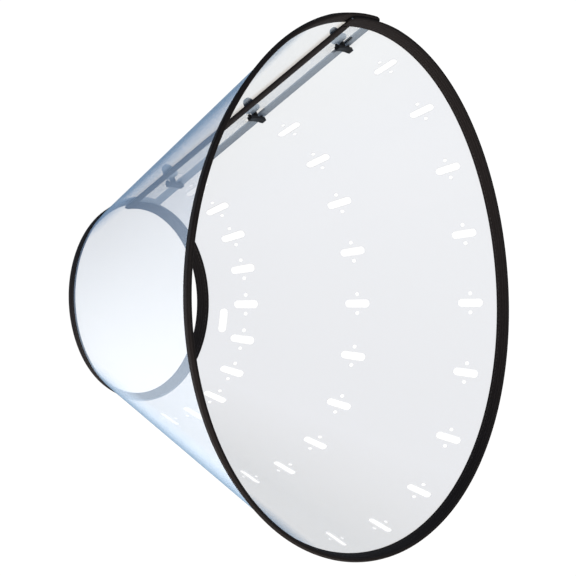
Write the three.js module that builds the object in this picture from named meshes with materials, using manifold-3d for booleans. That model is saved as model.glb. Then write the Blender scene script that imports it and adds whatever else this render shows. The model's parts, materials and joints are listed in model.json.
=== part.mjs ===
// Protective pet collar: a clear plastic sheet rolled into a cone, bound with black tape on its
// four edges and held closed by three twist locks in its overlap. Millimetres, +Z up.
// The cone stands on its neck ring with the mouth up. The origin is under the middle of the whole
// collar, and +X is the way from the neck ring's centre to the strap slot. Azimuths are in degrees
// from +X, round the neck ring's centre.

import * as THREE from 'three';
import { mergeVertices } from 'three/addons/utils/BufferGeometryUtils.js';
import Module from 'manifold-3d';

const wasm = await Module();
wasm.setup();

// Cone, measured on the middle of the sheet
const SLANT = 250; // neck edge to mouth edge, along the sheet
const NECK_RADIUS = 71.9;
const MOUTH_RADIUS = 190.3;
const MOUTH_SWELL = 3.2; // the rolled mouth is three-lobed by this much, with one lobe at the overlap
const SWELL_AZIMUTH = 90;
const MOUTH_SHIFT = 3.1; // the mouth's centre lies this far towards +Y from the neck ring's
const NECK_X = 0.6; // the neck ring's centre, in from the middle of the whole collar
const NECK_Y = -7.3;
const SHEET_THICKNESS = 0.8;
const GAP = 0.3; // air between pieces that touch
const CUT_DEPTH = 2.4; // of every hole's cutter, through one layer of the sheet only

// Fastening slots: columns every 18 degrees, the last one in the overlap
const SLOT_STEP = 18;
const LOCK_AZIMUTH = 99;
const SLOT_COLUMNS = 11;
const ROW_SLANTS = { neck: 40.2, middle: 130.3, rim: 219.8 };
const SLOT_LENGTH = 19.5;
const SLOT_WIDTH = 6.5;
const SLOT_CORNER = 2.4;
const DETENT_HOLE_RADIUS = 1.7;
const DETENT_SPACING = 15;
const STRAP_SLOT_SLANT = 22.3; // one more such slot, turned across the cone at azimuth 0

// Overlap: how far the sheet's inner and outer edges run past the locks, in mm
const INNER_EDGE_AT_NECK = 16;
const INNER_EDGE_AT_MOUTH = 22.5;
const OUTER_EDGE_AT_NECK = 17;
const OUTER_EDGE_AT_MOUTH = 10.8;
const LIFT_START = 240; // degrees round from the locks where the sheet starts to rise
const LIFT_END = 330;

// Binding tape, folded over the edges
const TAPE_THICKNESS = 0.5;
const TAPE_SHOULDER = 1; // from the folded edge to where the tape has its full thickness
const TAPE_WIDTH = 9.6;
const LAP_TAPE_WIDTH = 7.6; // on the two edges in the overlap
const TAPE_SLOT_HALF = SHEET_THICKNESS / 2 + GAP;
const TAPE_HALF = TAPE_SLOT_HALF + TAPE_THICKNESS;
const LAP_LIFT = 2 * TAPE_HALF + GAP; // the outer lap clears the tape on the inner one
const FLAT_HALF = 0.7; // half the width of the level face on the rim and on the neck ring
const SHEET_INSET = TAPE_THICKNESS + 2 * GAP; // the sheet's edge lies this far inside the tape's fold

// Twist locks: a thumb knob outside and a cross bar inside, on one stem through both laps
const STEM_RADIUS = 2.2;
const STEM_HOLE_RADIUS = 2.6;
const BAR_LENGTH = 18;
const BAR_WIDTH = 4.4;
const BAR_THICKNESS = 2.8;
const BAR_WAIST = 0.5; // the bar is this much thinner in its middle
const BAR_TOP = -2.8; // measured outwards from the inner sheet's middle
const PIP_TIP = -1.05;
const PIP_RADIUS = 1.1;
const PIP_OFFSET = 7.3;
const PIN_RADIUS = 1.2;
const PIN_TOP = 4;
const ROOT_DEPTH = 1; // how far the pin and the pips run into the bar
const FLANGE_RADIUS = 6;
const FLANGE_THICKNESS = 1.6;
const FLANGE_CHAMFER = 0.5;
const FLANGE_LOW = LAP_LIFT + TAPE_HALF + GAP;
const FLANGE_TOP = FLANGE_LOW + FLANGE_THICKNESS;
const LOBE_WIDTH = 13;
const LOBE_HEIGHT = 8.5;
const LOBE_THICKNESS = 3.4;
const LOBE_SINK = 0.4; // into the flange, so that the two are one moulding

// Facets
const COLUMN_STEP = 6; // degrees; a third of SLOT_STEP, so that each slot is in a flat facet
const INNER_FAN_COLUMNS = 2; // between the slot next to each edge and the edge itself
const OUTER_FAN_COLUMNS = 4;
const CORNER_SIDES = 2;
const SMALL_SIDES = 6;
const ROUND_SIDES = 20;
const WELD_DISTANCE = 1e-4; // vertices closer than this are one

const RUN = MOUTH_RADIUS - NECK_RADIUS;
const HEIGHT = Math.sqrt(SLANT ** 2 - RUN ** 2);
const SINE = RUN / SLANT;
const COSINE = HEIGHT / SLANT;
const TANGENT = RUN / HEIGHT;
const TURN = 360;

const radians = THREE.MathUtils.degToRad;
const degrees = THREE.MathUtils.radToDeg;

// The sheet as one surface ------------------------------------------------------------------

function coneRadius(slant) {
  return NECK_RADIUS + RUN * slant / SLANT;
}

// How far the sheet has risen off the layer below, in mm, a given number of degrees along it
function lapLift(turned) {
  return LAP_LIFT * THREE.MathUtils.smoothstep(turned, LIFT_START, LIFT_END);
}

// A point of the rolled sheet; azimuth runs down from the inner edge through a full turn
function sheetPoint(azimuth, slant, out) {
  const swell = MOUTH_SWELL * slant / SLANT * Math.cos(3 * radians(azimuth - SWELL_AZIMUTH));
  const lift = lapLift(LOCK_AZIMUTH - azimuth) / COSINE;
  const radius = coneRadius(slant) + swell + lift + out * COSINE;
  const angle = radians(azimuth);
  return new THREE.Vector3(
    NECK_X + radius * Math.cos(angle),
    NECK_Y + radius * Math.sin(angle) + MOUTH_SHIFT * slant / SLANT,
    HEIGHT * slant / SLANT - out * SINE,
  );
}

// An angle of so many mm round the cone, in degrees
function span(distance, slant) {
  return degrees(distance / coneRadius(slant));
}

function innerEdgeAzimuth(slant) {
  const past = THREE.MathUtils.lerp(INNER_EDGE_AT_NECK, INNER_EDGE_AT_MOUTH, slant / SLANT);
  return LOCK_AZIMUTH + span(past, slant);
}

function outerEdgeAzimuth(slant) {
  const past = THREE.MathUtils.lerp(OUTER_EDGE_AT_NECK, OUTER_EDGE_AT_MOUTH, slant / SLANT);
  return LOCK_AZIMUTH - TURN - span(past, slant);
}

// The creases of the faceted sheet, from the outer edge to the inner one, by rising azimuth. Each
// is a function from slant to azimuth. A crease lies half a step to either side of every slot.
function sheetColumns(beyond) {
  const first = LOCK_AZIMUTH + COLUMN_STEP / 2;
  const last = first - TURN;
  const columns = [];
  for (let i = 0; i < INNER_FAN_COLUMNS; i += 1) {
    const share = i / INNER_FAN_COLUMNS;
    columns.push((slant) => {
      const edge = innerEdgeAzimuth(slant) + span(beyond, slant);
      return THREE.MathUtils.lerp(edge, first, share);
    });
  }
  for (let azimuth = first; azimuth >= last; azimuth -= COLUMN_STEP) {
    columns.push(() => azimuth);
  }
  for (let i = 1; i <= OUTER_FAN_COLUMNS; i += 1) {
    const share = i / OUTER_FAN_COLUMNS;
    columns.push((slant) => {
      const edge = outerEdgeAzimuth(slant) - span(beyond, slant);
      return THREE.MathUtils.lerp(last, edge, share);
    });
  }
  return columns.reverse();
}

// Right-handed frame on the sheet: X round the cone, Y towards the mouth, Z outwards
function sheetFrame(azimuth, slant) {
  const origin = sheetPoint(azimuth, slant, 0);
  const along = sheetPoint(azimuth, slant + 1, 0).sub(origin).normalize();
  const across = sheetPoint(azimuth + 1, slant, 0).sub(sheetPoint(azimuth - 1, slant, 0));
  const out = new THREE.Vector3().crossVectors(across, along).normalize();
  const side = new THREE.Vector3().crossVectors(along, out);
  return new THREE.Matrix4().makeBasis(side, along, out).setPosition(origin);
}

// Solids ------------------------------------------------------------------------------------

function toSolid(geometry) {
  const bare = geometry.index ? geometry.toNonIndexed() : geometry.clone();
  bare.deleteAttribute('normal');
  bare.deleteAttribute('uv');
  const merged = mergeVertices(bare, WELD_DISTANCE);
  return new wasm.Manifold(new wasm.Mesh({
    numProp: 3,
    vertProperties: merged.attributes.position.array,
    triVerts: new Uint32Array(merged.index.array),
  }));
}

function toGeometry(solid) {
  const mesh = solid.getMesh();
  const geometry = new THREE.BufferGeometry();
  geometry.setAttribute('position', new THREE.BufferAttribute(new Float32Array(mesh.vertProperties), 3));
  geometry.setIndex(new THREE.BufferAttribute(new Uint32Array(mesh.triVerts), 1));
  geometry.computeVertexNormals();
  return geometry;
}

function polygon(points) {
  return new THREE.Shape(points.map(([x, y]) => new THREE.Vector2(x, y)));
}

// A bar of the given section, with every vertex then moved to its place by bend(x, y, step)
function bentBar(section, steps, bend) {
  const geometry = new THREE.ExtrudeGeometry(section, { depth: steps, steps, bevelEnabled: false });
  const position = geometry.attributes.position;
  for (let i = 0; i < position.count; i += 1) {
    const point = bend(position.getX(i), position.getY(i), Math.round(position.getZ(i)));
    position.setXYZ(i, point.x, point.y, point.z);
  }
  geometry.computeVertexNormals();
  return geometry;
}

// A section drawn as (slant, out) and carried round the whole sheet
function roundTheCone(section, beyond) {
  const columns = sheetColumns(beyond);
  return bentBar(section, columns.length - 1, (slant, out, step) => (
    sheetPoint(columns[step](slant), slant, out)
  ));
}

function roundedSlot(length, width, corner) {
  const x = width / 2;
  const y = length / 2;
  const shape = new THREE.Shape();
  shape.moveTo(x, corner - y);
  shape.lineTo(x, y - corner);
  shape.absarc(x - corner, y - corner, corner, 0, Math.PI / 2, false);
  shape.absarc(corner - x, y - corner, corner, Math.PI / 2, Math.PI, false);
  shape.absarc(corner - x, corner - y, corner, Math.PI, 1.5 * Math.PI, false);
  shape.absarc(x - corner, corner - y, corner, 1.5 * Math.PI, 2 * Math.PI, false);
  return shape;
}

function cylinder(radius, low, high, sides) {
  const geometry = new THREE.CylinderGeometry(radius, radius, high - low, sides);
  geometry.rotateX(Math.PI / 2);
  geometry.translate(0, 0, (low + high) / 2);
  return geometry;
}

// Cone sheet --------------------------------------------------------------------------------

function slotCutter(frame, turned) {
  const shape = roundedSlot(SLOT_LENGTH, SLOT_WIDTH, SLOT_CORNER);
  const options = { depth: CUT_DEPTH, bevelEnabled: false, curveSegments: CORNER_SIDES };
  const geometry = new THREE.ExtrudeGeometry(shape, options);
  geometry.translate(0, 0, -CUT_DEPTH / 2);
  geometry.rotateZ(turned);
  return toSolid(geometry.applyMatrix4(frame));
}

function detentCutter(frame, offset) {
  const geometry = cylinder(DETENT_HOLE_RADIUS, -CUT_DEPTH / 2, CUT_DEPTH / 2, SMALL_SIDES);
  geometry.translate(offset, 0, 0);
  return toSolid(geometry.applyMatrix4(frame));
}

function stemHoleCutter(frame) {
  const low = LAP_LIFT - CUT_DEPTH / 2;
  const geometry = cylinder(STEM_HOLE_RADIUS, low, low + CUT_DEPTH, ROUND_SIDES / 2);
  return toSolid(geometry.applyMatrix4(frame));
}

function sheetCutters() {
  const cutters = [slotCutter(sheetFrame(0, STRAP_SLOT_SLANT), Math.PI / 2)];
  for (const slant of Object.values(ROW_SLANTS)) {
    for (let column = 0; column < SLOT_COLUMNS; column += 1) {
      const frame = sheetFrame(LOCK_AZIMUTH - SLOT_STEP * column, slant);
      cutters.push(slotCutter(frame, 0));
      cutters.push(detentCutter(frame, DETENT_SPACING / 2));
      cutters.push(detentCutter(frame, -DETENT_SPACING / 2));
    }
    cutters.push(stemHoleCutter(sheetFrame(LOCK_AZIMUTH, slant)));
  }
  return cutters;
}

function coneSheet() {
  const half = SHEET_THICKNESS / 2;
  const low = SHEET_INSET;
  const high = SLANT - SHEET_INSET;
  const section = polygon([[low, -half], [high, -half], [high, half], [low, half]]);
  let sheet = toSolid(roundTheCone(section, 0));
  for (const cutter of sheetCutters()) {
    sheet = sheet.subtract(cutter);
  }
  return toGeometry(sheet);
}

// Binding tape ------------------------------------------------------------------------------

// Folded tape on a round edge. The fold is cut level, so that the collar stands flat.
function roundTape(edge, inward) {
  const open = edge + inward * TAPE_WIDTH;
  const fold = edge + inward * (SHEET_INSET - GAP);
  const shoulder = edge + inward * TAPE_SHOULDER;
  const level = FLAT_HALF * TANGENT;
  return polygon([
    [open, -TAPE_HALF],
    [shoulder, -TAPE_HALF],
    [edge - level, -FLAT_HALF],
    [edge + level, FLAT_HALF],
    [shoulder, TAPE_HALF],
    [open, TAPE_HALF],
    [open, TAPE_SLOT_HALF],
    [fold, TAPE_SLOT_HALF],
    [fold, -TAPE_SLOT_HALF],
    [open, -TAPE_SLOT_HALF],
  ]);
}

function rimBinding() {
  return roundTheCone(roundTape(SLANT, -1), SHEET_INSET);
}

function neckBinding() {
  return roundTheCone(roundTape(0, 1), SHEET_INSET);
}

// Folded tape on a straight edge of the sheet, as (distance in from the sheet's edge, out)
function lapTape() {
  const middle = LAP_TAPE_WIDTH / 2;
  const open = LAP_TAPE_WIDTH - SHEET_INSET;
  return polygon([
    [open, -TAPE_HALF],
    [open, -TAPE_SLOT_HALF],
    [middle, -TAPE_SLOT_HALF],
    [-GAP, -TAPE_SLOT_HALF],
    [-GAP, TAPE_SLOT_HALF],
    [middle, TAPE_SLOT_HALF],
    [open, TAPE_SLOT_HALF],
    [open, TAPE_HALF],
    [middle, TAPE_HALF],
    [-SHEET_INSET / 2, TAPE_HALF],
    [-SHEET_INSET, TAPE_SLOT_HALF],
    [-SHEET_INSET, -TAPE_SLOT_HALF],
    [-SHEET_INSET / 2, -TAPE_HALF],
    [middle, -TAPE_HALF],
  ]);
}

function lapBinding(edgeAzimuth, inward) {
  const low = TAPE_WIDTH + GAP;
  const high = SLANT - TAPE_WIDTH - GAP;
  return bentBar(lapTape(), 1, (distance, out, step) => {
    const slant = (step === 0) === (inward < 0) ? low : high;
    const azimuth = edgeAzimuth(slant) + inward * span(distance, slant);
    return sheetPoint(azimuth, slant, out);
  });
}

function innerLapBinding() {
  return lapBinding(innerEdgeAzimuth, -1);
}

function outerLapBinding() {
  return lapBinding(outerEdgeAzimuth, 1);
}

// Twist locks, in the frame of the sheet at the lock ------------------------------------------

// Stem and flange in one turned profile, with the bore for the bar's pin in the stem's end
function knobBody() {
  const boreRadius = PIN_RADIUS + GAP;
  const stemEnd = BAR_TOP + GAP;
  const profile = [
    [0, PIN_TOP + GAP],
    [boreRadius, PIN_TOP + GAP],
    [boreRadius, stemEnd],
    [STEM_RADIUS, stemEnd],
    [STEM_RADIUS, FLANGE_LOW],
    [FLANGE_RADIUS, FLANGE_LOW],
    [FLANGE_RADIUS, FLANGE_TOP - FLANGE_CHAMFER],
    [FLANGE_RADIUS - FLANGE_CHAMFER, FLANGE_TOP],
    [0, FLANGE_TOP],
  ];
  const points = profile.map(([radius, height]) => new THREE.Vector2(radius, height));
  const geometry = new THREE.LatheGeometry(points, ROUND_SIDES);
  geometry.rotateX(Math.PI / 2);
  return geometry;
}

// D-shaped thumb lobe, upright on the flange and in line with the bar
function knobLobe() {
  const half = LOBE_WIDTH / 2;
  const shape = new THREE.Shape();
  shape.moveTo(-half, -LOBE_SINK);
  shape.lineTo(half, -LOBE_SINK);
  shape.lineTo(half, LOBE_HEIGHT - half);
  shape.absarc(0, LOBE_HEIGHT - half, half, 0, Math.PI, false);
  const options = { depth: LOBE_THICKNESS, bevelEnabled: false, curveSegments: ROUND_SIDES / 2 };
  const geometry = new THREE.ExtrudeGeometry(shape, options);
  geometry.translate(0, 0, -LOBE_THICKNESS / 2);
  geometry.rotateX(Math.PI / 2);
  geometry.translate(0, 0, FLANGE_TOP);
  return geometry;
}

function lockKnob() {
  return toGeometry(toSolid(knobBody()).add(toSolid(knobLobe())));
}

// Cross bar with a pip at each end that faces the detent holes, and the pin that joins the knob
function lockBar() {
  const halfLength = BAR_LENGTH / 2;
  const shoulder = PIP_OFFSET - PIP_RADIUS;
  const low = BAR_TOP - BAR_THICKNESS;
  const side = polygon([
    [-halfLength, BAR_TOP],
    [-halfLength, low],
    [-shoulder, low],
    [-shoulder / 2, low + BAR_WAIST],
    [shoulder / 2, low + BAR_WAIST],
    [shoulder, low],
    [halfLength, low],
    [halfLength, BAR_TOP],
  ]);
  const bar = new THREE.ExtrudeGeometry(side, { depth: BAR_WIDTH, bevelEnabled: false });
  bar.rotateX(Math.PI / 2);
  bar.translate(0, BAR_WIDTH / 2, 0);
  const root = BAR_TOP - ROOT_DEPTH;
  const pin = cylinder(PIN_RADIUS, root, PIN_TOP, ROUND_SIDES / 2);
  let solid = toSolid(bar).add(toSolid(pin));
  for (const offset of [-PIP_OFFSET, PIP_OFFSET]) {
    const pip = cylinder(PIP_RADIUS, root, PIP_TIP, SMALL_SIDES);
    pip.translate(offset, 0, 0);
    solid = solid.add(toSolid(pip));
  }
  return toGeometry(solid);
}

// Assembly ------------------------------------------------------------------------------------

const clearSheet = new THREE.MeshStandardMaterial({ color: 0xe4e9f2, roughness: 0.12, metalness: 0 });
const blackTape = new THREE.MeshStandardMaterial({ color: 0x17151a, roughness: 0.75, metalness: 0 });
const blackPlastic = new THREE.MeshStandardMaterial({ color: 0x1b1b20, roughness: 0.4, metalness: 0 });

function piece(name, geometry, material) {
  const mesh = new THREE.Mesh(geometry, material);
  mesh.name = name;
  return mesh;
}

function twistLock(name, slant) {
  const lock = new THREE.Group();
  lock.applyMatrix4(sheetFrame(LOCK_AZIMUTH, slant));
  lock.add(piece(`${name}_lock_knob`, lockKnob(), blackPlastic));
  lock.add(piece(`${name}_lock_bar`, lockBar(), blackPlastic));
  return lock;
}

const collar = new THREE.Group();
collar.add(piece('cone_sheet', coneSheet(), clearSheet));
collar.add(piece('rim_binding', rimBinding(), blackTape));
collar.add(piece('neck_binding', neckBinding(), blackTape));
collar.add(piece('inner_lap_binding', innerLapBinding(), blackTape));
collar.add(piece('outer_lap_binding', outerLapBinding(), blackTape));
for (const [name, slant] of Object.entries(ROW_SLANTS)) collar.add(twistLock(name, slant));

export default collar;
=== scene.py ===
import json
import math

import bmesh
import bpy
from mathutils import Matrix, Vector


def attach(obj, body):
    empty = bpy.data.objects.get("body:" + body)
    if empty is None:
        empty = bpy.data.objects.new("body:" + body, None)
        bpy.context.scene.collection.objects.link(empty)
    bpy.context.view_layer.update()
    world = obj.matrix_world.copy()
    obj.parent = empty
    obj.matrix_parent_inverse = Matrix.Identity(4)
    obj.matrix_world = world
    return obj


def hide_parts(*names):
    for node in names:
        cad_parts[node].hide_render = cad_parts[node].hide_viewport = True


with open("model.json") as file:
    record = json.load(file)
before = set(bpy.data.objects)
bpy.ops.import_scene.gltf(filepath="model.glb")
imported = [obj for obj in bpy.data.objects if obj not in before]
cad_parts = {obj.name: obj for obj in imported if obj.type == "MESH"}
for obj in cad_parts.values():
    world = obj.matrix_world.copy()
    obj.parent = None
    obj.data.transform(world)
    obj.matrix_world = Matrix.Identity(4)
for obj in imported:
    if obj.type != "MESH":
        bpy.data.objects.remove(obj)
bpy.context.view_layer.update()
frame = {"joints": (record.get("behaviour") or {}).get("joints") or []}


# Studio ---------------------------------------------------------------------------------------
# The collar stands on its neck ring on a white light table, under two large soft boxes. The
# camera looks down into the mouth from the front left and is turned on its side.

def place_camera(position, aim, roll, lens):
    camera = bpy.data.objects.new("camera", bpy.data.cameras.new("camera"))
    camera.data.lens = lens
    camera.data.sensor_width = 36
    camera.data.clip_start = 0.01
    upright = (aim - position).to_track_quat("-Z", "Y").to_matrix().to_4x4()
    camera.matrix_world = Matrix.Translation(position) @ upright @ Matrix.Rotation(roll, 4, "Z")
    bpy.context.scene.collection.objects.link(camera)
    bpy.context.scene.camera = camera


def soft_box(name, position, aim, size, watts, colour):
    lamp = bpy.data.lights.new(name, "AREA")
    lamp.shape = "SQUARE"
    lamp.size = size
    lamp.energy = watts
    lamp.color = colour
    box = bpy.data.objects.new(name, lamp)
    turned = (aim - position).to_track_quat("-Z", "Y").to_matrix().to_4x4()
    box.matrix_world = Matrix.Translation(position) @ turned
    bpy.context.scene.collection.objects.link(box)


def mixed_colour(tree, factor, first, second):
    colour = tree.nodes.new("ShaderNodeMix")
    colour.data_type = "RGBA"
    tree.links.new(factor, colour.inputs["Factor"])
    for socket, value in ((colour.inputs["A"], first), (colour.inputs["B"], second)):
        if isinstance(value, bpy.types.NodeSocket):
            tree.links.new(value, socket)
        else:
            socket.default_value = (*value, 1)
    return next(o for o in colour.outputs if o.type == "RGBA")


# White where it is seen directly, and the given tint where it only lights the collar
def seen_white(tree, socket, tint):
    seen = tree.nodes.new("ShaderNodeLightPath").outputs["Is Camera Ray"]
    tree.links.new(mixed_colour(tree, seen, tint, (1, 1, 1)), socket)


# The table's own light is stronger and warmer to one side, and dim where it is mirrored
def table_light(tree, cool_y=0.12, warm_y=-0.30):
    cool, warm, dim = (0.36, 0.58, 0.86), (4.2, 3.7, 3.3), (0.22, 0.34, 0.48)
    place = tree.nodes.new("ShaderNodeSeparateXYZ")
    tree.links.new(tree.nodes.new("ShaderNodeTexCoord").outputs["Object"], place.inputs[0])
    across = tree.nodes.new("ShaderNodeMapRange")
    across.inputs["From Min"].default_value = cool_y
    across.inputs["From Max"].default_value = warm_y
    tree.links.new(place.outputs["Y"], across.inputs["Value"])
    soft = mixed_colour(tree, across.outputs[0], cool, warm)
    mirrored = tree.nodes.new("ShaderNodeLightPath").outputs["Is Glossy Ray"]
    return mixed_colour(tree, mirrored, soft, dim)


def light_table(half, glow):
    mesh = bpy.data.meshes.new("floor")
    corners = [(-half, -half, 0), (half, -half, 0), (half, half, 0), (-half, half, 0)]
    mesh.from_pydata(corners, [], [(0, 1, 2, 3)])
    table = bpy.data.objects.new("floor", mesh)
    bpy.context.scene.collection.objects.link(table)
    material = bpy.data.materials.new("light table")
    material.use_nodes = True
    shader = material.node_tree.nodes["Principled BSDF"]
    shader.inputs["Base Color"].default_value = (0.05, 0.05, 0.05, 1)
    shader.inputs["Roughness"].default_value = 0.9
    shader.inputs["Specular IOR Level"].default_value = 0.1
    shader.inputs["Emission Strength"].default_value = glow
    seen_white(material.node_tree, shader.inputs["Emission Color"],
               table_light(material.node_tree))
    mesh.materials.append(material)


place_camera(position=Vector((-1.05306, -0.23012, 0.98293)),
             aim=Vector((0.01783, 0.00408, 0.13365)), roll=math.radians(88.666), lens=117.36)
light_table(half=6.0, glow=1.0)
lit_place = Vector((0, 0, 0.1))
soft_box("side soft box", Vector((-0.7, -2.3, 0.9)), lit_place, size=1.5, watts=62,
         colour=(1, 0.82, 0.62))
soft_box("top soft box", Vector((0.3, 0.2, 2.4)), lit_place, size=1.2, watts=30,
         colour=(0.86, 0.93, 1))
sky = bpy.data.worlds.new("white studio")
sky.use_nodes = True
backdrop = sky.node_tree.nodes["Background"]
seen_white(sky.node_tree, backdrop.inputs["Color"], (0.35, 0.3, 0.25))
bpy.context.scene.world = sky
bpy.context.scene.view_settings.view_transform = "Standard"


# Cone sheet -----------------------------------------------------------------------------------
# One clear, faintly milky extruded plastic sheet. It is die-cut flat with its slots, each with two
# detent holes, and rolled until its straight edges lap. Flat pieces are drawn here as (distance
# up the sheet, azimuth times flat_radius, outwards), and one group of nodes rolls them all.

slant_depth = 0.250
neck_radius = 0.0719
mouth_radius = 0.1903
flat_radius = 0.13
sheet_half = 0.0004
fold_past_sheet = 0.0011  # from the sheet's cut edge to the fold of the tape round it
lock_azimuth = math.radians(99)
inner_past_lock = (0.016, 0.0225)  # at the neck and at the mouth
outer_past_lock = (0.017, 0.0108)
cone_sizes = {
    "Slant Depth": slant_depth, "Neck Radius": neck_radius, "Mouth Radius": mouth_radius,
    "Flat Radius": flat_radius, "Mouth Swell": 0.0032, "Swell Azimuth": math.radians(90),
    "Mouth Shift": 0.0031, "Neck X": 0.0006, "Neck Y": -0.0073, "Lap Lift": 0.0027,
    "Lock Azimuth": lock_azimuth, "Lift Start": math.radians(240),
    "Lift End": math.radians(330),
}
sheet_sizes = {
    **cone_sizes, "Neck Row": 0.0402, "Middle Row": 0.1303, "Rim Row": 0.2198,
    "Slot Columns": 11, "Column Step": math.radians(18), "Slot Length": 0.0195,
    "Slot Width": 0.0065, "Slot Corner": 0.003, "Detent Radius": 0.0017,
    "Detent Spacing": 0.015, "Stem Hole Radius": 0.0026, "Strap Slot Slant": 0.0223,
    "Punch Depth": 0.004,
}


def cone_radius(slant):
    return neck_radius + (mouth_radius - neck_radius) * slant / slant_depth


def past_lock(distances, slant):
    share = slant / slant_depth
    return (distances[0] * (1 - share) + distances[1] * share) / cone_radius(slant)


def inner_edge(slant):
    return lock_azimuth + past_lock(inner_past_lock, slant)


def outer_edge(slant):
    return lock_azimuth - 2 * math.pi - past_lock(outer_past_lock, slant)


def add_inputs(tree, sizes):
    tree.interface.new_socket("Geometry", in_out="INPUT", socket_type="NodeSocketGeometry")
    for name, value in sizes.items():
        kind = "NodeSocketInt" if isinstance(value, int) else "NodeSocketFloat"
        socket = tree.interface.new_socket(name, in_out="INPUT", socket_type=kind)
        socket.default_value = value
    tree.interface.new_socket("Geometry", in_out="OUTPUT", socket_type="NodeSocketGeometry")
    return tree.nodes.new("NodeGroupInput").outputs, tree.nodes.new("NodeGroupOutput").inputs


def feed(tree, node, **values):
    for name, value in values.items():
        socket = node.inputs[name.replace("_", " ")]
        if isinstance(value, bpy.types.NodeSocket):
            tree.links.new(value, socket)
        else:
            socket.default_value = value
    return node


def reckon(tree, operation, *values):
    node = tree.nodes.new("ShaderNodeMath")
    node.operation = operation
    for socket, value in zip(node.inputs, values):
        if isinstance(value, bpy.types.NodeSocket):
            tree.links.new(value, socket)
        else:
            socket.default_value = value
    return node.outputs[0]


def combine(tree, x, y, z):
    return feed(tree, tree.nodes.new("ShaderNodeCombineXYZ"), X=x, Y=y, Z=z).outputs[0]


# The cone is not quite round: its mouth has three soft lobes and stands off the neck's axis, and
# past the back of the cone the sheet lifts to lie outside its own inner end
def rolling_group():
    tree = bpy.data.node_groups.new("roll into a cone", "GeometryNodeTree")
    given, result = add_inputs(tree, cone_sizes)
    place = tree.nodes.new("ShaderNodeSeparateXYZ")
    tree.links.new(tree.nodes.new("GeometryNodeInputPosition").outputs[0], place.inputs[0])
    slant, flat_y, out = place.outputs
    depth = given["Slant Depth"]
    along = reckon(tree, "DIVIDE", slant, depth)
    azimuth = reckon(tree, "DIVIDE", flat_y, given["Flat Radius"])
    run = reckon(tree, "SUBTRACT", given["Mouth Radius"], given["Neck Radius"])
    sine = reckon(tree, "DIVIDE", run, depth)
    cosine = reckon(tree, "SQRT", reckon(tree, "SUBTRACT", 1, reckon(tree, "MULTIPLY", sine, sine)))
    lobes = reckon(tree, "MULTIPLY", 3, reckon(tree, "SUBTRACT", azimuth, given["Swell Azimuth"]))
    swell = reckon(tree, "MULTIPLY", reckon(tree, "COSINE", lobes), given["Mouth Swell"])
    turned = tree.nodes.new("ShaderNodeMapRange")
    turned.interpolation_type = "SMOOTHSTEP"
    tree.links.new(reckon(tree, "SUBTRACT", given["Lock Azimuth"], azimuth), turned.inputs["Value"])
    tree.links.new(given["Lift Start"], turned.inputs["From Min"])
    tree.links.new(given["Lift End"], turned.inputs["From Max"])
    lift = reckon(tree, "MULTIPLY", turned.outputs[0], given["Lap Lift"])
    radius = reckon(tree, "MULTIPLY_ADD", reckon(tree, "ADD", run, swell), along,
                    given["Neck Radius"])
    radius = reckon(tree, "ADD", radius, reckon(tree, "DIVIDE", lift, cosine))
    radius = reckon(tree, "MULTIPLY_ADD", out, cosine, radius)
    x = reckon(tree, "MULTIPLY_ADD", radius, reckon(tree, "COSINE", azimuth), given["Neck X"])
    y = reckon(tree, "MULTIPLY_ADD", radius, reckon(tree, "SINE", azimuth), given["Neck Y"])
    y = reckon(tree, "MULTIPLY_ADD", given["Mouth Shift"], along, y)
    z = reckon(tree, "SUBTRACT", reckon(tree, "MULTIPLY", slant, cosine),
               reckon(tree, "MULTIPLY", out, sine))
    moved = feed(tree, tree.nodes.new("GeometryNodeSetPosition"), Geometry=given["Geometry"],
                 Position=combine(tree, x, y, z))
    tree.links.new(moved.outputs[0], result["Geometry"])
    return tree


def rolled(tree, geometry, given):
    node = tree.nodes.new("GeometryNodeGroup")
    node.node_tree = rolling
    tree.links.new(geometry, node.inputs["Geometry"])
    for name in cone_sizes:
        tree.links.new(given[name], node.inputs[name])
    return node.outputs["Geometry"]


# A closed cutter from one closed curve, standing through the flat sheet
def punch_from(tree, curve, depth):
    face = feed(tree, tree.nodes.new("GeometryNodeFillCurve"), Curve=curve)
    face.mode = "NGONS"
    down = combine(tree, 0.0, 0.0, reckon(tree, "MULTIPLY", depth, -0.5))
    low = shifted(tree, face.outputs[0], down)
    risen = feed(tree, tree.nodes.new("GeometryNodeExtrudeMesh"), Mesh=low,
                 Offset=combine(tree, 0.0, 0.0, depth), Offset_Scale=1.0, Individual=False)
    under = feed(tree, tree.nodes.new("GeometryNodeFlipFaces"), Mesh=low)
    both = join(tree, risen.outputs[0], under.outputs[0])
    merged = feed(tree, tree.nodes.new("GeometryNodeMergeByDistance"), Geometry=both,
                  Distance=1e-6)
    return merged.outputs[0]


def join(tree, *parts):
    node = tree.nodes.new("GeometryNodeJoinGeometry")
    for part in reversed(parts):
        tree.links.new(part, node.inputs[0])
    return node.outputs[0]


def round_punch(tree, radius, depth, sides=20):
    ring = feed(tree, tree.nodes.new("GeometryNodeCurvePrimitiveCircle"), Radius=radius,
                Resolution=sides)
    return punch_from(tree, ring.outputs[0], depth)


def shifted(tree, geometry, offset):
    node = feed(tree, tree.nodes.new("GeometryNodeTransform"), Geometry=geometry,
                Translation=offset)
    return node.outputs[0]


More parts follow.
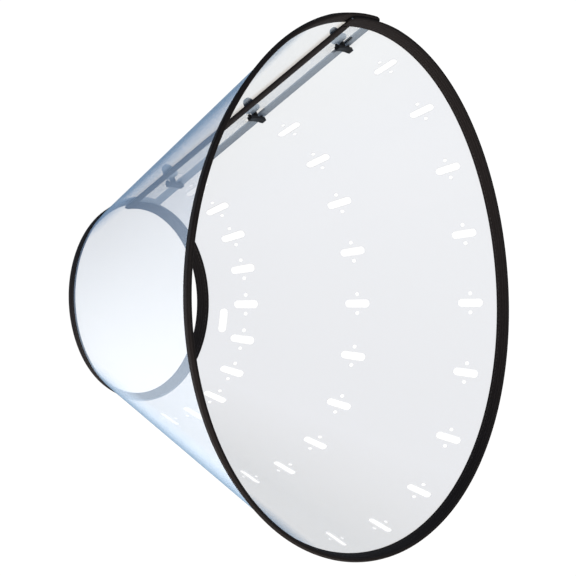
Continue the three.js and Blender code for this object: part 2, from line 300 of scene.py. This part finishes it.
# Cutters on a line of points; a cutter is widened from real size to the flat drawing's
def cutters_at(tree, cutter, start, step, count, given):
    line = tree.nodes.new("GeometryNodeMeshLine")
    feed(tree, line, Start_Location=start, Offset=step, Count=count)
    slant = tree.nodes.new("ShaderNodeSeparateXYZ")
    tree.links.new(start, slant.inputs[0])
    run = reckon(tree, "SUBTRACT", given["Mouth Radius"], given["Neck Radius"])
    share = reckon(tree, "DIVIDE", slant.outputs[0], given["Slant Depth"])
    radius = reckon(tree, "MULTIPLY_ADD", run, share, given["Neck Radius"])
    widen = reckon(tree, "DIVIDE", given["Flat Radius"], radius)
    placed = feed(tree, tree.nodes.new("GeometryNodeInstanceOnPoints"), Points=line.outputs[0],
                  Instance=cutter, Scale=combine(tree, 1.0, widen, 1.0))
    return placed.outputs[0]


def slot_punch(tree, given, corner_steps=7):
    outline = feed(tree, tree.nodes.new("GeometryNodeCurvePrimitiveQuadrilateral"),
                   Width=given["Slot Length"], Height=given["Slot Width"])
    soft = feed(tree, tree.nodes.new("GeometryNodeFilletCurve"), Curve=outline.outputs[0],
                Radius=given["Slot Corner"])
    soft.mode = "POLY"
    soft.inputs["Count"].default_value = corner_steps
    return punch_from(tree, soft.outputs[0], given["Punch Depth"])


# Three rows of slots with their detent holes, the strap slot, and the stems' holes in the outer
# layer of the lap, which lies one whole turn on from the first column
def sheet_tree():
    tree = bpy.data.node_groups.new("die-cut and rolled sheet", "GeometryNodeTree")
    given, result = add_inputs(tree, sheet_sizes)
    slot = slot_punch(tree, given)
    detent = round_punch(tree, given["Detent Radius"], given["Punch Depth"])
    half = reckon(tree, "MULTIPLY", given["Detent Spacing"], 0.5)
    above = shifted(tree, detent, combine(tree, 0.0, half, 0.0))
    below = shifted(tree, detent, combine(tree, 0.0, reckon(tree, "MULTIPLY", half, -1), 0.0))
    stem_hole = round_punch(tree, given["Stem Hole Radius"], given["Punch Depth"])
    slot_set = join(tree, slot, above, below)
    first = reckon(tree, "MULTIPLY", given["Lock Azimuth"], given["Flat Radius"])
    step = reckon(tree, "MULTIPLY", given["Column Step"], given["Flat Radius"])
    next_column = combine(tree, 0.0, reckon(tree, "MULTIPLY", step, -1), 0.0)
    whole_turn = reckon(tree, "MULTIPLY", given["Flat Radius"], 2 * math.pi)
    lapped = reckon(tree, "SUBTRACT", first, whole_turn)
    punches = []
    for row in (given["Neck Row"], given["Middle Row"], given["Rim Row"]):
        punches.append(cutters_at(tree, slot_set, combine(tree, row, first, 0.0), next_column,
                                  given["Slot Columns"], given))
        punches.append(cutters_at(tree, stem_hole, combine(tree, row, lapped, 0.0),
                                  next_column, 1, given))
    across = feed(tree, tree.nodes.new("GeometryNodeTransform"), Geometry=slot,
                  Rotation=(0, 0, math.pi / 2))
    strap = combine(tree, given["Strap Slot Slant"], 0.0, 0.0)
    punches.append(cutters_at(tree, across.outputs[0], strap, next_column, 1, given))
    cutters = feed(tree, tree.nodes.new("GeometryNodeRealizeInstances"),
                   Geometry=join(tree, *punches))
    cut = tree.nodes.new("GeometryNodeMeshBoolean")
    cut.operation = "DIFFERENCE"
    cut.solver = "EXACT"
    tree.links.new(given["Geometry"], cut.inputs["Mesh 1"])
    tree.links.new(cutters.outputs[0], cut.inputs["Mesh 2"])
    real = feed(tree, tree.nodes.new("GeometryNodeRealizeInstances"),
                Geometry=rolled(tree, cut.outputs[0], given))
    finish(tree, real.outputs[0], result)
    return tree


def finish(tree, geometry, result):
    smooth = feed(tree, tree.nodes.new("GeometryNodeSetShadeSmooth"), Geometry=geometry)
    coat = feed(tree, tree.nodes.new("GeometryNodeSetMaterial"), Geometry=smooth.outputs[0])
    coat.name = "finish"
    tree.links.new(coat.outputs[0], result["Geometry"])


# Runs a tree on a flat mesh and leaves one plain object at the origin
def made_by(tree, mesh, material, sizes, sharp=math.radians(50)):
    piece = bpy.data.objects.new(mesh.name, mesh)
    bpy.context.scene.collection.objects.link(piece)
    tree.nodes["finish"].inputs["Material"].default_value = material
    modifier = piece.modifiers.new("shape", "NODES")
    modifier.node_group = tree
    for item in tree.interface.items_tree:
        if item.in_out == "INPUT" and item.name in sizes:
            modifier[item.identifier] = sizes[item.name]
    depsgraph = bpy.context.evaluated_depsgraph_get()
    shaped = bpy.data.meshes.new_from_object(
        piece.evaluated_get(depsgraph), preserve_all_data_layers=True, depsgraph=depsgraph)
    piece.modifiers.clear()
    piece.data = shaped
    shaped.name = mesh.name
    bpy.data.meshes.remove(mesh)
    shaped.set_sharp_from_angle(angle=sharp)
    return piece


def flat_sheet(rows, columns):
    mesh = bpy.data.meshes.new("clear_sheet")
    shape = bmesh.new()
    layers = []
    for out in (-sheet_half, sheet_half):
        layer = []
        for i in range(rows + 1):
            slant = fold_past_sheet + (slant_depth - 2 * fold_past_sheet) * i / rows
            start, end = inner_edge(slant), outer_edge(slant)
            layer.append([
                shape.verts.new((slant, (start + (end - start) * j / columns) * flat_radius, out))
                for j in range(columns + 1)])
        layers.append(layer)
    low, high = layers
    for i in range(rows):
        for j in range(columns):
            shape.faces.new((low[i][j], low[i + 1][j], low[i + 1][j + 1], low[i][j + 1]))
            shape.faces.new((high[i][j], high[i][j + 1], high[i + 1][j + 1], high[i + 1][j]))
    for j in range(columns):
        shape.faces.new((low[0][j], low[0][j + 1], high[0][j + 1], high[0][j]))
        shape.faces.new((low[rows][j + 1], low[rows][j], high[rows][j], high[rows][j + 1]))
    for i in range(rows):
        shape.faces.new((low[i + 1][0], low[i][0], high[i][0], high[i + 1][0]))
        shape.faces.new((low[i][columns], low[i + 1][columns], high[i + 1][columns],
                         high[i][columns]))
    bmesh.ops.recalc_face_normals(shape, faces=shape.faces)
    shape.to_mesh(mesh)
    shape.free()
    return mesh


# Fine scuffs and dust, for every finish: a mask of hairlines and a soft unevenness
def scuff_group():
    tree = bpy.data.node_groups.new("scuffs and dust", "ShaderNodeTree")
    for name, value in (("Hairline Scale", 60.0), ("Cloud Scale", 12.0), ("Amount", 0.5)):
        socket = tree.interface.new_socket(name, in_out="INPUT", socket_type="NodeSocketFloat")
        socket.default_value = value
    for name in ("Mask", "Clouds", "Height"):
        tree.interface.new_socket(name, in_out="OUTPUT", socket_type="NodeSocketFloat")
    given = tree.nodes.new("NodeGroupInput").outputs
    result = tree.nodes.new("NodeGroupOutput").inputs
    place = tree.nodes.new("ShaderNodeTexCoord").outputs["Object"]
    drawn = feed(tree, tree.nodes.new("ShaderNodeMapping"), Vector=place,
                 Rotation=(0.5, 0.3, 0.9), Scale=(9.0, 1.0, 4.0))
    lines = feed(tree, tree.nodes.new("ShaderNodeTexNoise"), Vector=drawn.outputs[0],
                 Scale=given["Hairline Scale"], Detail=4.0, Roughness=0.65)
    clouds = feed(tree, tree.nodes.new("ShaderNodeTexNoise"), Vector=place,
                  Scale=given["Cloud Scale"], Detail=5.0, Roughness=0.55)
    sparse = tree.nodes.new("ShaderNodeMapRange")
    feed(tree, sparse, Value=lines.outputs[0], From_Min=0.58, From_Max=0.72)
    mask = reckon(tree, "MULTIPLY", sparse.outputs[0], given["Amount"])
    tree.links.new(mask, result["Mask"])
    tree.links.new(clouds.outputs[0], result["Clouds"])
    tree.links.new(reckon(tree, "MULTIPLY_ADD", mask, -1.0, clouds.outputs[0]), result["Height"])
    return tree


def scuffs_in(tree, hairlines, clouds, amount):
    node = tree.nodes.new("ShaderNodeGroup")
    node.node_tree = scuffs
    feed(tree, node, Hairline_Scale=hairlines, Cloud_Scale=clouds, Amount=amount)
    return node.outputs


def new_finish(name, roughness, specular):
    material = bpy.data.materials.new(name)
    material.use_nodes = True
    shader = material.node_tree.nodes["Principled BSDF"]
    shader.inputs["Roughness"].default_value = roughness
    shader.inputs["Specular IOR Level"].default_value = specular
    return material, material.node_tree, shader


def ranged(tree, value, low, high, start=0.0, end=1.0):
    node = feed(tree, tree.nodes.new("ShaderNodeMapRange"), Value=value, From_Min=start,
                From_Max=end, To_Min=low, To_Max=high)
    return node.outputs[0]


def scaled(tree, colour, amount):
    node = tree.nodes.new("ShaderNodeVectorMath")
    node.operation = "SCALE"
    tree.links.new(colour, node.inputs[0])
    tree.links.new(amount, node.inputs["Scale"])
    return node.outputs[0]


def bumped(tree, shader, height, strength, distance):
    node = tree.nodes.new("ShaderNodeBump")
    node.inputs["Strength"].default_value = strength
    node.inputs["Distance"].default_value = distance
    tree.links.new(height, node.inputs["Height"])
    tree.links.new(node.outputs[0], shader.inputs["Normal"])


# Clear plastic lets warm light through and scatters blue, and it closes up where it is seen
# edge on
def clear_plastic():
    material, tree, shader = new_finish("clear sheet", 0.12, 0.06)
    marks = scuffs_in(tree, 70.0, 9.0, 0.35)
    edge_on = tree.nodes.new("ShaderNodeLayerWeight")
    edge_on.inputs["Blend"].default_value = 0.5
    facing = edge_on.outputs["Facing"]
    turning = ranged(tree, facing, 0.0, 1.0, 0.80, 0.97)
    haze = mixed_colour(tree, turning, (0.50, 0.66, 0.88), (0.11, 0.19, 0.29))
    uneven = reckon(tree, "MULTIPLY_ADD", marks["Mask"], 0.3,
                    ranged(tree, marks["Clouds"], 0.94, 1.06))
    tree.links.new(scaled(tree, haze, uneven), shader.inputs["Base Color"])
    tree.links.new(ranged(tree, marks["Mask"], 0.10, 0.35), shader.inputs["Roughness"])
    bumped(tree, shader, marks["Clouds"], 0.03, 0.002)
    through = tree.nodes.new("ShaderNodeBsdfTransparent")
    leaning = ranged(tree, facing, 0.0, 1.0, 0.2, 0.62)
    tree.links.new(mixed_colour(tree, leaning, (0.915, 0.915, 0.922), (0.94, 0.918, 0.885)),
                   through.inputs["Color"])
    share = reckon(tree, "MULTIPLY_ADD", turning, 0.72, ranged(tree, leaning, 0.06, 0.20))
    sheet_mix = tree.nodes.new("ShaderNodeMixShader")
    tree.links.new(share, sheet_mix.inputs[0])
    tree.links.new(through.outputs[0], sheet_mix.inputs[1])
    tree.links.new(shader.outputs[0], sheet_mix.inputs[2])
    tree.links.new(sheet_mix.outputs[0], tree.nodes["Material Output"].inputs["Surface"])
    return material


rolling = rolling_group()
scuffs = scuff_group()
sheet_finish = clear_plastic()
sheet = made_by(sheet_tree(), flat_sheet(rows=48, columns=200), sheet_finish, sheet_sizes)
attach(sheet, "collar")
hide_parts("cone_sheet")


# Bound edges ----------------------------------------------------------------------------------
# Ribbed black woven tape, folded over the sheet's mouth, neck and two straight edges. Each piece
# is one folded strip that hugs the sheet, thicker at its fold, with a groove where it is sewn.

tape_width = 0.0096
lap_tape_width = 0.0076
seam_from_edge = 0.0019
tape_station = 0.0026


def tape_tree():
    tree = bpy.data.node_groups.new("tape rolled with the sheet", "GeometryNodeTree")
    given, result = add_inputs(tree, cone_sizes)
    real = feed(tree, tree.nodes.new("GeometryNodeRealizeInstances"),
                Geometry=rolled(tree, given["Geometry"], given))
    finish(tree, real.outputs[0], result)
    return tree


# The folded strip's section as (distance in from the fold, outwards), once round; the sheet lies
# in the channel between its two sides, with a gap
def tape_section(width, channel_end=0.0008, channel_half=0.00045):
    seam = width - seam_from_edge
    skin = [
        (width, channel_half), (width, 0.0008), (width - 0.0003, 0.001),
        (seam + 0.0008, 0.00106), (seam + 0.0003, 0.00092), (seam, 0.00086),
        (seam - 0.0003, 0.00092), (seam - 0.0008, 0.00108), (width * 0.45, 0.00118),
        (0.0016, 0.0012), (0.0010, 0.00108), (0.0006, 0.00085), (0.0003, 0.0005),
        (0.00012, 0.0002), (0.0, 0.0),
    ]
    other = [(distance, -out) for distance, out in reversed(skin[:-1])]
    return skin + other + [(channel_end, -channel_half), (channel_end, channel_half)]


# Sweeps a section; point_at(station, distance, out) gives the flat place of each of its points
def swept_tape(name, section, stations, length, point_at):
    mesh = bpy.data.meshes.new(name)
    shape = bmesh.new()
    weave = shape.loops.layers.uv.new("weave")
    rings = []
    for i in range(stations + 1):
        rings.append([shape.verts.new(point_at(i / stations, d, o)) for d, o in section])
    across = [0.0]
    for (d0, o0), (d1, o1) in zip(section, section[1:] + section[:1]):
        across.append(across[-1] + math.hypot(d1 - d0, o1 - o0))
    count = len(section)
    for i in range(stations):
        for j in range(count):
            k = (j + 1) % count
            face = shape.faces.new((rings[i][j], rings[i][k], rings[i + 1][k], rings[i + 1][j]))
            reach = ((i, j), (i, j + 1), (i + 1, j + 1), (i + 1, j))
            for loop, (row, column) in zip(face.loops, reach):
                loop[weave].uv = (row / stations * length, across[column])
    shape.faces.new(rings[0])
    shape.faces.new(list(reversed(rings[-1])))
    bmesh.ops.recalc_face_normals(shape, faces=shape.faces)
    shape.to_mesh(mesh)
    shape.free()
    return mesh


# Towards its two ends the tape is pressed thin and the corner of its fold is rounded. Clear of the
# lap its fold is plump, and it thins to the stitched edge
def round_edge(name, edge, inward):
    length = 2.1 * math.pi * cone_radius(edge)  # one turn, and about a twentieth for the lap
    end_run, end_corner, end_thinning = 0.006, 0.0022, 0.45
    lap_clear, plump_run, plumpness, plump_width = 0.037, 0.02, 0.6, 0.0076

    def point_at(share, distance, out):
        to_end = min(share, 1 - share) * length
        pressed = max(0, 1 - to_end / end_run) ** 2
        plump = min(1, max(0, (to_end - lap_clear) / plump_run))
        out *= 1 + plumpness * plump * max(0, 1 - (distance / plump_width) ** 2)
        corner = end_corner * pressed * (1 - distance / tape_width)
        slant = edge + inward * (distance + corner)
        past = fold_past_sheet / cone_radius(slant)
        start, end = inner_edge(slant) + past, outer_edge(slant) - past
        out *= 1 - end_thinning * pressed
        return slant, (start + (end - start) * share) * flat_radius, out
    stations = round(length / tape_station)
    return swept_tape(name, tape_section(tape_width), stations, length, point_at)


# A lap's tape butts against the rim's and the neck's
def straight_edge(name, edge, inward, gap=0.0003):
    low, high = tape_width + gap, slant_depth - tape_width - gap

    def point_at(share, distance, out):
        slant = low + (high - low) * share
        azimuth = edge(slant) + inward * (distance - fold_past_sheet) / cone_radius(slant)
        return slant, azimuth * flat_radius, out
    length = high - low
    stations = round(length / tape_station)
    return swept_tape(name, tape_section(lap_tape_width), stations, length, point_at)


def woven_tape():
    material, tree, shader = new_finish("black binding tape", 0.82, 0.04)
    marks = scuffs_in(tree, 40.0, 60.0, 0.5)
    strip = tree.nodes.new("ShaderNodeUVMap")
    strip.uv_map = "weave"
    in_mm = feed(tree, tree.nodes.new("ShaderNodeMapping"), Vector=strip.outputs[0],
                 Scale=(1000.0, 1000.0, 1.0))
    ribs = tree.nodes.new("ShaderNodeTexWave")
    ribs.bands_direction = "X"
    feed(tree, ribs, Vector=in_mm.outputs[0], Scale=0.40, Distortion=0.6, Detail=2.0)
    ribs.inputs["Detail Scale"].default_value = 1.5
    yarns = tree.nodes.new("ShaderNodeTexWave")
    yarns.bands_direction = "Y"
    feed(tree, yarns, Vector=in_mm.outputs[0], Scale=0.17, Distortion=0.8, Detail=2.0)
    long_fibres = feed(tree, tree.nodes.new("ShaderNodeMapping"), Vector=in_mm.outputs[0],
                       Scale=(0.12, 2.2, 1.0))
    fibres = feed(tree, tree.nodes.new("ShaderNodeTexNoise"), Vector=long_fibres.outputs[0],
                  Scale=1.0, Detail=4.0)
    shade = reckon(tree, "MULTIPLY_ADD", yarns.outputs["Fac"], 0.35,
                   reckon(tree, "MULTIPLY", fibres.outputs[0], 0.8))
    shade = reckon(tree, "MULTIPLY_ADD", ribs.outputs["Fac"], 0.2, shade)
    dark, pale = (0.0015, 0.0012, 0.0014), (0.016, 0.0150, 0.0168)
    tree.links.new(mixed_colour(tree, shade, dark, pale), shader.inputs["Base Color"])
    tree.links.new(ranged(tree, marks["Clouds"], 0.72, 0.92), shader.inputs["Roughness"])
    height = reckon(tree, "MULTIPLY_ADD", yarns.outputs["Fac"], 0.5, ribs.outputs["Fac"])
    height = reckon(tree, "MULTIPLY_ADD", marks["Height"], 0.2, height)
    bumped(tree, shader, height, 0.5, 0.00025)
    shader.inputs["Sheen Weight"].default_value = 0.02
    shader.inputs["Sheen Roughness"].default_value = 0.4
    return material


tape_shape = tape_tree()
tape_finish = woven_tape()
bound_edges = {
    "rim_binding": round_edge("rim_tape", slant_depth, -1),
    "neck_binding": round_edge("neck_tape", 0.0, 1),
    "inner_lap_binding": straight_edge("inner_lap_tape", inner_edge, -1),
    "outer_lap_binding": straight_edge("outer_lap_tape", outer_edge, 1),
}
for node_name, strip in bound_edges.items():
    tape = made_by(tape_shape, strip, tape_finish, cone_sizes, sharp=math.radians(75))
    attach(tape, "collar")
    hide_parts(node_name)


# Sewing thread --------------------------------------------------------------------------------
# Black polyester lock-stitch along both faces of each folded tape, close to its open edge. Every
# stitch is a short capsule laid in the groove of the tape along a path on the rolled sheet.

stitch_sizes = {
    **cone_sizes, "Stitch Pitch": 0.0032, "Stitch Length": 0.0025, "Thread Radius": 0.00022,
}
thread_out = 0.00092  # in the groove of the tape, from the middle of the sheet
seam_end = 0.0105  # where a lap's seam stops, from the neck's fold or the rim's


def stitch_tree():
    tree = bpy.data.node_groups.new("lock-stitch along a path", "GeometryNodeTree")
    given, result = add_inputs(tree, stitch_sizes)
    path = feed(tree, tree.nodes.new("GeometryNodeMeshToCurve"),
                Mesh=rolled(tree, given["Geometry"], given))
    evenly = tree.nodes.new("GeometryNodeResampleCurve")
    evenly.mode = "LENGTH"
    feed(tree, evenly, Curve=path.outputs[0], Length=given["Stitch Pitch"])
    turned = tree.nodes.new("FunctionNodeAlignRotationToVector")
    turned.axis = "X"
    tree.links.new(tree.nodes.new("GeometryNodeInputTangent").outputs[0], turned.inputs["Vector"])
    bead = tree.nodes.new("GeometryNodeMeshUVSphere")
    feed(tree, bead, Segments=4, Rings=6, Radius=1.0)
    lying = feed(tree, tree.nodes.new("GeometryNodeTransform"), Geometry=bead.outputs[0],
                 Rotation=(0, math.pi / 2, 0))
    half = reckon(tree, "MULTIPLY", given["Stitch Length"], 0.5)
    thread = given["Thread Radius"]
    placed = feed(tree, tree.nodes.new("GeometryNodeInstanceOnPoints"), Points=evenly.outputs[0],
                  Instance=lying.outputs[0], Rotation=turned.outputs[0],
                  Scale=combine(tree, half, thread, thread))
    real = feed(tree, tree.nodes.new("GeometryNodeRealizeInstances"),
                Geometry=placed.outputs[0])
    finish(tree, real.outputs[0], result)
    return tree


def stitch_paths(name, paths):
    mesh = bpy.data.meshes.new(name)
    points, edges = [], []
    for path in paths:
        edges += [(len(points) + i, len(points) + i + 1) for i in range(len(path) - 1)]
        points += path
    mesh.from_pydata(points, edges, [])
    return mesh


def round_seam(slant, out, trim=0.004, steps=360):
    short = trim / cone_radius(slant)
    start, end = inner_edge(slant) - short, outer_edge(slant) + short
    return [(slant, (start + (end - start) * i / steps) * flat_radius, out)
            for i in range(steps + 1)]


def straight_seam(edge, inward, out, steps=60):
    distance = lap_tape_width - seam_from_edge - fold_past_sheet
    path = []
    for i in range(steps + 1):
        slant = seam_end + (slant_depth - 2 * seam_end) * i / steps
        azimuth = edge(slant) + inward * distance / cone_radius(slant)
        path.append((slant, azimuth * flat_radius, out))
    return path


def black_thread():
    material, tree, shader = new_finish("black sewing thread", 0.5, 0.35)
    marks = scuffs_in(tree, 90.0, 400.0, 0.6)
    dark, pale = (0.010, 0.010, 0.012), (0.034, 0.033, 0.038)
    tree.links.new(mixed_colour(tree, marks["Clouds"], dark, pale), shader.inputs["Base Color"])
    tree.links.new(ranged(tree, marks["Clouds"], 0.4, 0.65), shader.inputs["Roughness"])
    bumped(tree, shader, marks["Height"], 0.4, 0.0002)
    return material


stitching = stitch_tree()
thread_finish = black_thread()
seam = tape_width - seam_from_edge
both_faces = (thread_out, -thread_out)
for name, paths in {
    "rim_thread": [round_seam(slant_depth - seam, out) for out in both_faces],
    "neck_thread": [round_seam(seam, out) for out in both_faces],
    "lap_threads": [straight_seam(edge, inward, out)
                    for edge, inward in ((inner_edge, -1), (outer_edge, 1))
                    for out in both_faces],
}.items():
    thread = made_by(stitching, stitch_paths(name, paths), thread_finish, stitch_sizes)
    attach(thread, "collar")


# Twist locks ----------------------------------------------------------------------------------
# Satin black mouldings, three alike. A thumb knob with a turned flange stands outside the lap, on
# a stem through both layers, and a cross bar inside is held to it by a pin pressed into the stem.

def lock_place(joint):
    out = Vector(joint["axis"]).normalized()
    side = Vector((-out.y, out.x, 0)).normalized()
    along = out.cross(side)
    place = Matrix((side, along, out)).transposed().to_4x4()
    return Matrix.Translation(Vector(joint["pos_m"])) @ place


# Adds a solid of revolution about the lock's axis, from (radius, height) once round
def turn_into(shape, profile, sides):
    rings = []
    for radius, height in profile:
        rings.append([shape.verts.new((radius * math.cos(2 * math.pi * i / sides),
                                       radius * math.sin(2 * math.pi * i / sides), height))
                      for i in range(sides)])
    for lower, upper in zip(rings, rings[1:]):
        for i in range(sides):
            k = (i + 1) % sides
            shape.faces.new((lower[i], lower[k], upper[k], upper[i]))
    shape.faces.new(list(reversed(rings[0])))
    shape.faces.new(rings[-1])


# Adds a plate of the given outline, with rounded edges; its two faces may be dished
def plate_into(shape, outline, thickness, soft, dish=0.0, dish_wall=0.0011, arc_steps=4):
    middle = Vector((sum(p[0] for p in outline), sum(p[1] for p in outline))) / len(outline)
    arc = [(soft * (1 - math.cos(a)), soft * (1 - math.sin(a)))
           for a in (math.pi / 2 * i / arc_steps for i in range(arc_steps + 1))]
    levels = [(inset, -thickness / 2 + rise) for rise, inset in arc]
    levels += [(inset, thickness / 2 - rise) for rise, inset in reversed(arc)]
    levels = ([(soft + dish_wall, -thickness / 2 + dish)] + levels
              + [(soft + dish_wall, thickness / 2 - dish)])
    rings = []
    for inset, depth in levels:
        ring = []
        for x, z in outline:
            away = Vector((x, z)) - middle
            reach = max(away.length - inset, 0.0002) / away.length
            ring.append(shape.verts.new((middle.x + away.x * reach, depth,
                                         middle.y + away.y * reach)))
        rings.append(ring)
    count = len(outline)
    for lower, upper in zip(rings, rings[1:]):
        for i in range(count):
            k = (i + 1) % count
            shape.faces.new((lower[i], lower[k], upper[k], upper[i]))
    shape.faces.new(list(reversed(rings[0])))
    shape.faces.new(rings[-1])


def lock_piece(name, shape, place):
    bmesh.ops.recalc_face_normals(shape, faces=shape.faces)
    for face in shape.faces:
        face.smooth = True
    mesh = bpy.data.meshes.new(name)
    shape.to_mesh(mesh)
    shape.free()
    mesh.transform(place)
    mesh.set_sharp_from_angle(angle=math.radians(35))
    mesh.materials.append(lock_finish)
    piece = bpy.data.objects.new(name, mesh)
    bpy.context.scene.collection.objects.link(piece)
    return piece


def knob(name, place):
    shape = bmesh.new()
    stem_and_flange = [
        (0.0022, -0.0025), (0.0022, 0.0042), (0.0056, 0.0042), (0.00585, 0.0043),
        (0.006, 0.0046), (0.006, 0.0052), (0.00585, 0.0055), (0.0055, 0.0058),
        (0.0044, 0.0059), (0.0038, 0.0063)]
    turn_into(shape, stem_and_flange, 32)
    half, foot, top, steps = 0.0065, 0.0056, 0.0143, 16
    outline = [(-half, foot), (-half * 0.4, foot), (half * 0.4, foot), (half, foot)]
    for i in range(steps + 1):
        angle = math.pi * i / steps
        outline.append((half * math.cos(angle), top - half + half * math.sin(angle)))
    plate_into(shape, outline, thickness=0.0034, soft=0.0009, dish=0.00055)
    return lock_piece(name, shape, place)


# The bar's inner face is hollowed along its middle; two pips and the pin stand on its outer face
def cross_bar(name, place):
    shape = bmesh.new()
    top, low, half, pip_offset = -0.0028, -0.0056, 0.0085, 0.0073
    hollow = [(0.0034, low + 0.0005), (0.0048, low + 0.0003), (0.0062, low)]
    right = hollow + [(half, low), (half, top), (0.0045, top)]
    outline = ([(-half, top), (-half, low)] + [(-x, z) for x, z in reversed(hollow)] + right
               + [(-0.0045, top)])
    plate_into(shape, outline, thickness=0.0042, soft=0.0004)
    pip = [(0.0012, -0.0034), (0.0012, -0.0015), (0.001, -0.0012), (0.0006, -0.00105)]
    for offset in (-pip_offset, pip_offset):
        before = set(shape.verts)
        turn_into(shape, pip, 16)
        for vert in set(shape.verts) - before:
            vert.co.x += offset
    pin = [(0.0012, -0.0034), (0.0012, 0.0038), (0.001, 0.004)]
    turn_into(shape, pin, 16)
    return lock_piece(name, shape, place)


def satin_plastic():
    material, tree, shader = new_finish("satin black plastic", 0.42, 0.25)
    marks = scuffs_in(tree, 160.0, 180.0, 0.6)
    clean, worn = (0.0035, 0.0035, 0.0042), (0.020, 0.020, 0.022)
    tree.links.new(mixed_colour(tree, marks["Mask"], clean, worn), shader.inputs["Base Color"])
    tree.links.new(ranged(tree, marks["Clouds"], 0.34, 0.52), shader.inputs["Roughness"])
    bumped(tree, shader, marks["Height"], 0.25, 0.0002)
    return material


lock_finish = satin_plastic()
for joint in frame["joints"]:
    lock = joint["child"]
    place = lock_place(joint)
    for part, made in (("knob", knob), ("bar", cross_bar)):
        piece = made(f"{lock}_{part}_moulding", place)
        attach(piece, lock)
        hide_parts(f"{lock}_{part}")
